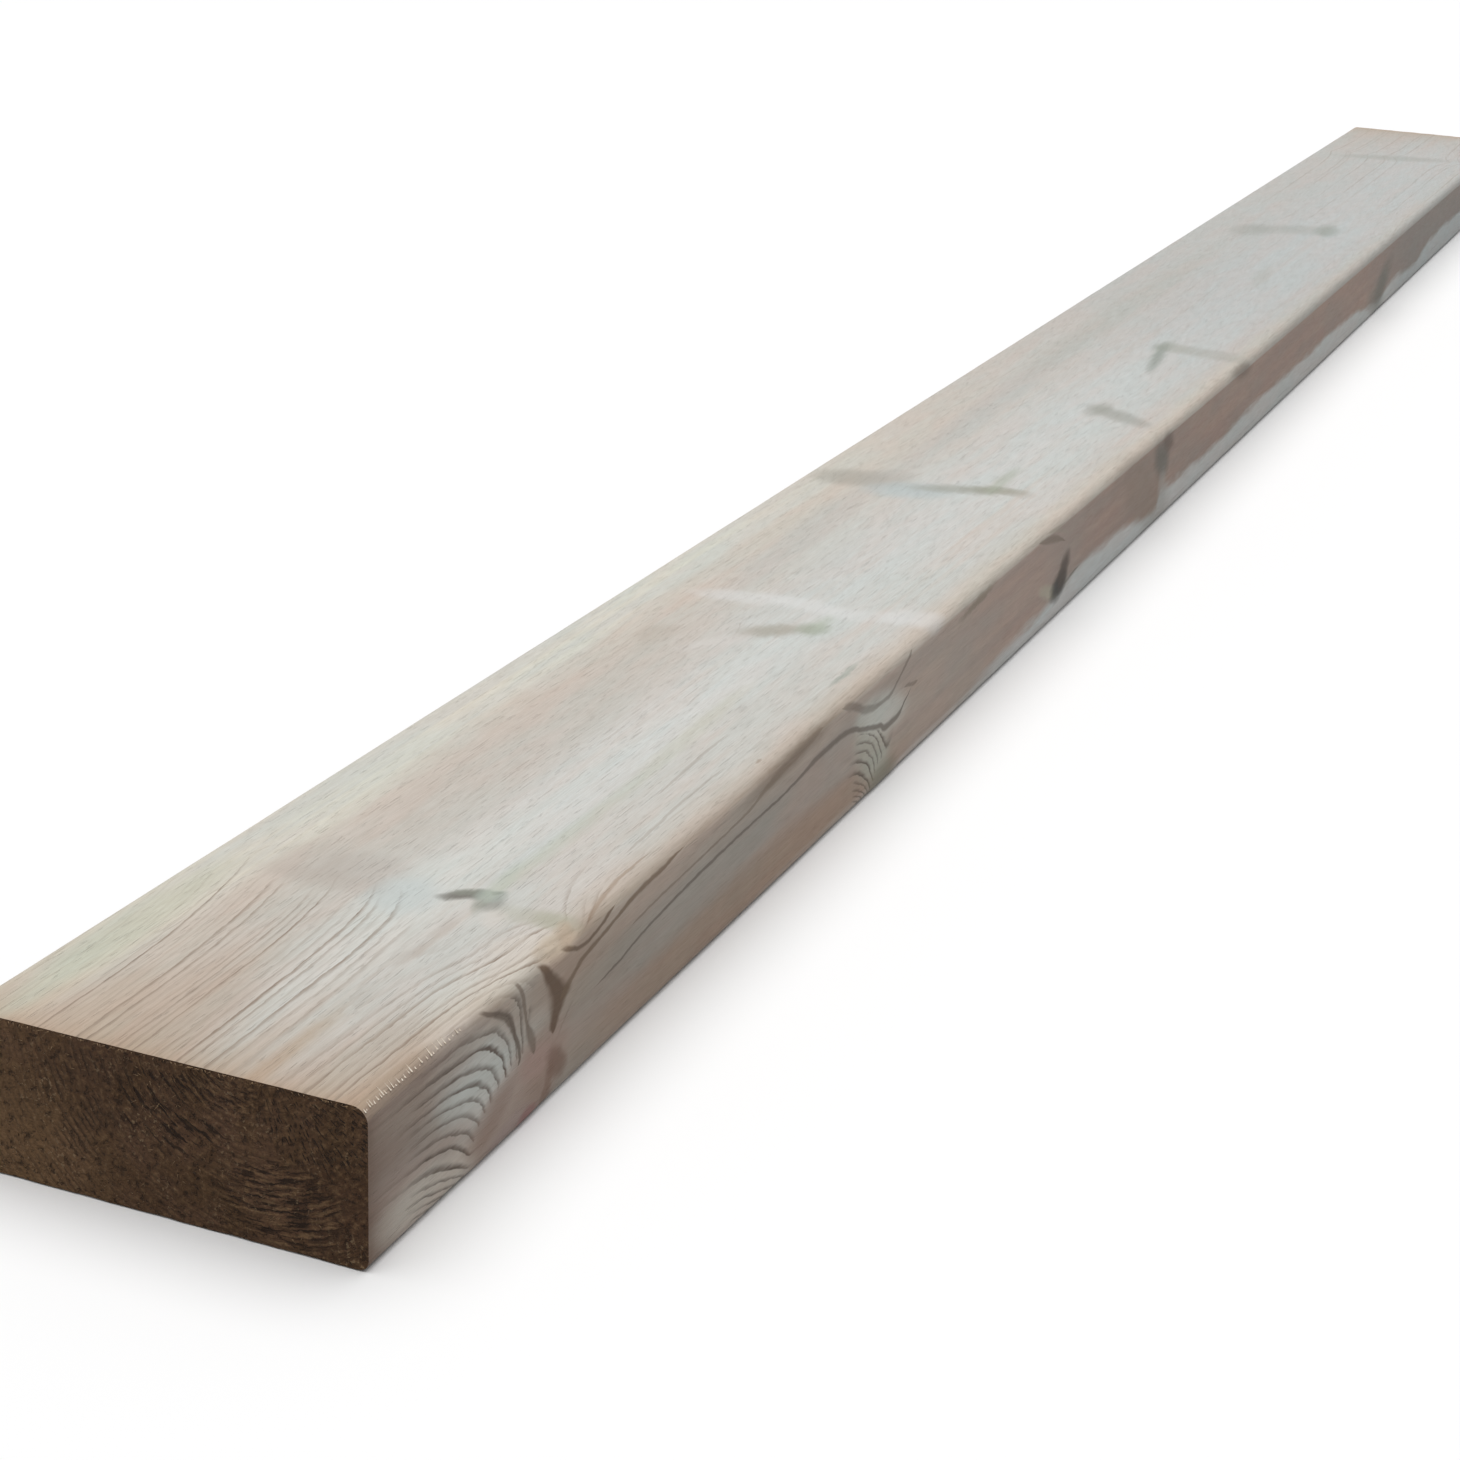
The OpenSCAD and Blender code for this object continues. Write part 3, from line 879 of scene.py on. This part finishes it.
# The floor: a plain pale sheet that the plank lies on. Light that it throws back on the plank is
# held down, so that the shaded faces stay in shade.
floor_half = 40.0
floor_gap = 0.4 * millimetre
floor_level = low.z - floor_gap
floor_mesh = bpy.data.meshes.new("floor")
quarters = ((-1, -1), (1, -1), (1, 1), (-1, 1))
floor_corners = [(x * floor_half, y * floor_half, floor_level) for x, y in quarters]
floor_mesh.from_pydata(floor_corners, [], [(0, 1, 2, 3)])
floor = bpy.data.objects.new("floor", floor_mesh)
bpy.context.scene.collection.objects.link(floor)


def seen_directly(tree):
    """1 for the rays that show the background, from the camera, in gloss or through glass."""
    rays = tree.nodes.new("ShaderNodeLightPath")
    camera, glossy, through = (Wire(tree, rays.outputs[name])
                               for name in ("Is Camera Ray", "Is Glossy Ray", "Is Transmission Ray"))
    return camera.of("MAXIMUM", glossy).of("MAXIMUM", through)


floor_paint = bpy.data.materials.new("pale floor")
floor_paint.use_nodes = True
floor_surface = floor_paint.node_tree.nodes["Principled BSDF"]
floor_surface.inputs["Roughness"].default_value = 1.0
floor_surface.inputs["Specular IOR Level"].default_value = 0.0
floor_shown, floor_thrown = (0.96, 0.96, 0.96, 1), (0.38, 0.38, 0.38, 1)
floor_tone = seen_directly(floor_paint.node_tree).mix(floor_thrown, floor_shown)
feed(floor_surface.inputs["Base Color"], floor_tone)
floor_mesh.materials.append(floor_paint)

# The light: a wide soft lamp straight overhead, and an even sky, which lights the plank dimly but
# shows white behind it.
sky = bpy.data.worlds.new("sky")
bpy.context.scene.world = sky
sky.use_nodes = True
sky_shader = sky.node_tree.nodes["Background"]
sky_shader.inputs["Color"].default_value = (1, 1, 1, 1)
sky_light = 0.26
feed(sky_shader.inputs["Strength"], seen_directly(sky.node_tree) * (1 - sky_light) + sky_light)
lamp_light, lamp_spread = 0.79, 80
lamp = bpy.data.lights.new("overhead lamp", "SUN")
lamp.energy = lamp_light * math.pi
lamp.angle = math.radians(lamp_spread)
lamp_stand = bpy.data.objects.new("overhead lamp", lamp)
bpy.context.scene.collection.objects.link(lamp_stand)

# The camera: it stands in front of the near end, to the right of the plank and a little above it,
# and looks along the plank and down.
lens = bpy.data.cameras.new("camera")
lens.lens = 69.66
lens.sensor_width = 36.0
camera = bpy.data.objects.new("camera", lens)
bpy.context.scene.collection.objects.link(camera)
yaw, pitch, roll = math.radians(22.022), math.radians(20.566), math.radians(2.427)
turn = (Matrix.Rotation(yaw - math.pi / 2, 4, "Z")
        @ Matrix.Rotation(math.pi / 2 - pitch, 4, "X")
        @ Matrix.Rotation(roll, 4, "Z"))
eye = low + Vector((-524.5, -301.3, 370.5)) * millimetre
camera.matrix_world = Matrix.Translation(eye) @ turn
bpy.context.scene.camera = camera
bpy.context.scene.view_settings.view_transform = "Standard"
